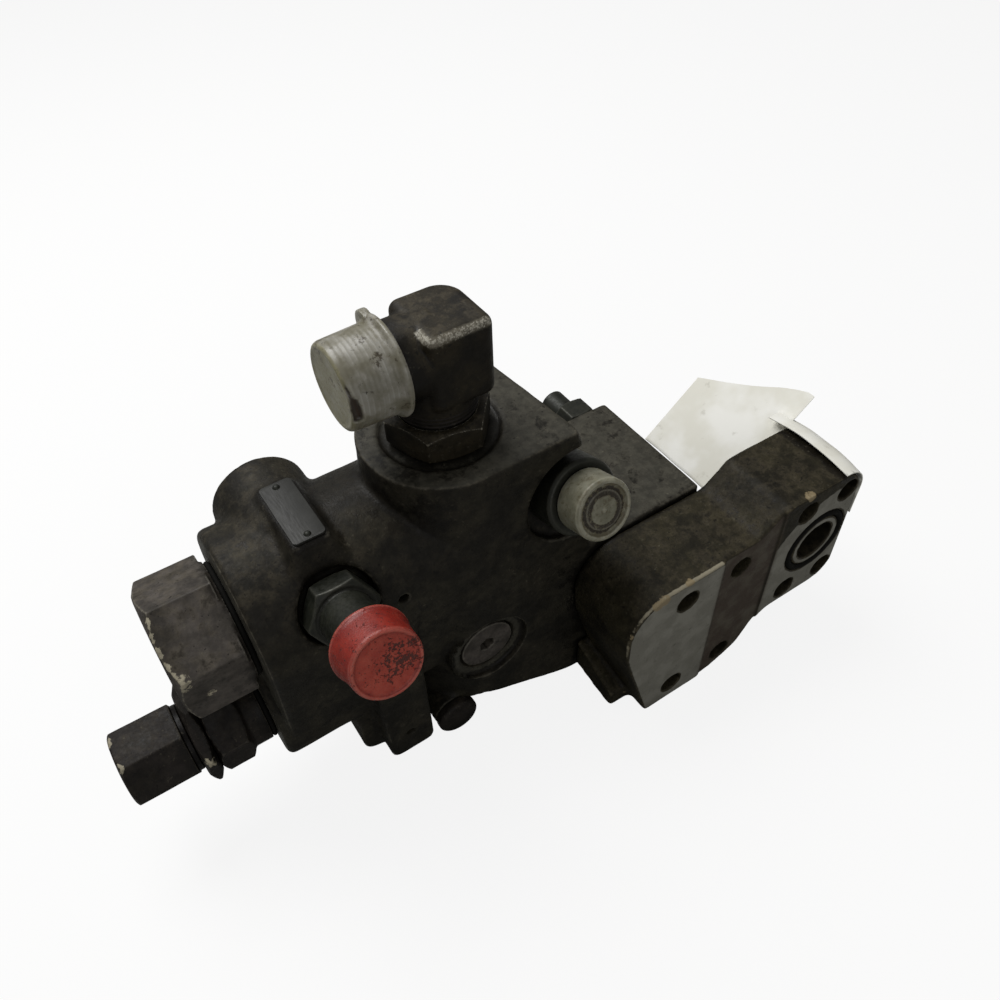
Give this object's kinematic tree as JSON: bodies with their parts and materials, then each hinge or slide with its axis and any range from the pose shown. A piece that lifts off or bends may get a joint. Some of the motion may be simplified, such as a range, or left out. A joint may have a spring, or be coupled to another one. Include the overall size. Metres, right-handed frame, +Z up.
{
  "type": "hose rupture valve",
  "caption": "Hose rupture valve with a cast body, bolted flange block, spring cap, relief cartridge, top elbow and capped pilot ports.",
  "frame": {"origin": "on the resting plane, in the middle of the object's length and depth", "axes": "+X along the spool towards the flange block, -Y out of the flange faces, +Z up along the top port"},
  "size_m": [0.294, 0.1232, 0.1894],
  "materials": {
    "cast_iron": "rough",
    "steel": "satin",
    "zinc_steel": "satin",
    "ground_steel": "gloss",
    "rubber": "matte",
    "red_plastic": "matte",
    "white_plastic": "matte",
    "aluminium": "matte",
    "paper": "matte"
  },
  "bodies": {
    "housing": {"valve_body": "cast_iron", "flange_block": "cast_iron", "spring_cap": "steel", "relief_body": "steel", "check_plug": "steel", "core_plug": "steel", "drain_adapter": "zinc_steel", "pilot_adapter": "zinc_steel", "flange_studs": "zinc_steel", "flange_washers": "zinc_steel", "flange_nuts": "zinc_steel", "plate_rivets": "zinc_steel", "main_spring": "ground_steel", "relief_spring": "ground_steel", "check_spring": "ground_steel", "cap_seal": "rubber", "relief_seal": "rubber", "drain_seal": "rubber", "pilot_seal": "rubber", "port_o_ring": "rubber", "joint_o_ring": "rubber", "name_plate": "aluminium", "paper_label": "paper"},
    "spool": {"main_spool": "ground_steel", "spring_seat": "ground_steel"},
    "check": {"check_poppet": "ground_steel"},
    "relief": {"relief_poppet": "ground_steel"},
    "adjuster": {"relief_adjuster": "steel", "relief_spring_plate": "ground_steel"},
    "jam_nut": {"relief_lock_nut": "steel"},
    "elbow": {"elbow_body": "steel"},
    "elbow_nut": {"elbow_lock_nut": "steel"},
    "elbow_cover": {"elbow_cap": "white_plastic"},
    "drain_cover": {"drain_cap": "red_plastic"},
    "pilot_cover": {"pilot_cap": "white_plastic"}
  },
  "joints": [
    {"name": "spool_slide", "type": "slide", "parent": "housing", "child": "spool", "axis": [-1, 0, 0], "range_m": [0, 0.008], "stiffness_N_per_m": 9000, "springref_m": -0.006, "deforming": ["main_spring"]},
    {"name": "check_slide", "type": "slide", "parent": "housing", "child": "check", "axis": [0, -1, 0], "range_m": [0, 0.0045], "stiffness_N_per_m": 1500, "springref_m": -0.003, "deforming": ["check_spring"]},
    {"name": "relief_slide", "type": "slide", "parent": "housing", "child": "relief", "axis": [-1, 0, 0], "range_m": [0, 0.003], "stiffness_N_per_m": 20000, "springref_m": -0.004, "deforming": ["relief_spring"]},
    {"name": "adjuster_turn", "type": "hinge", "parent": "housing", "child": "adjuster", "pos_m": [-0.129, 0.00464, 0.049], "axis": [1, 0, 0], "range_deg": [-180, 180]},
    {"name": "jam_nut_turn", "type": "hinge", "parent": "adjuster", "child": "jam_nut", "pos_m": [-0.119, 0.00464, 0.049], "axis": [-1, 0, 0], "range_deg": [0, 180]},
    {"name": "elbow_swivel", "type": "hinge", "parent": "housing", "child": "elbow", "pos_m": [-0.009, 0.00464, 0.15], "axis": [0, 0, 1], "range_deg": [-180, 180]},
    {"name": "elbow_nut_turn", "type": "hinge", "parent": "elbow", "child": "elbow_nut", "pos_m": [-0.009, 0.00464, 0.145], "axis": [0, 0, 1], "range_deg": [0, 180]},
    {"name": "elbow_cap_pull", "type": "slide", "parent": "elbow", "child": "elbow_cover", "axis": [-1, 0, 0], "range_m": [0, 0.022]},
    {"name": "drain_cap_pull", "type": "slide", "parent": "housing", "child": "drain_cover", "axis": [0, -0.9397, 0.342], "range_m": [0, 0.018]},
    {"name": "pilot_cap_pull", "type": "slide", "parent": "housing", "child": "pilot_cover", "axis": [0, -0.9397, 0.342], "range_m": [0, 0.014]}
  ]
}
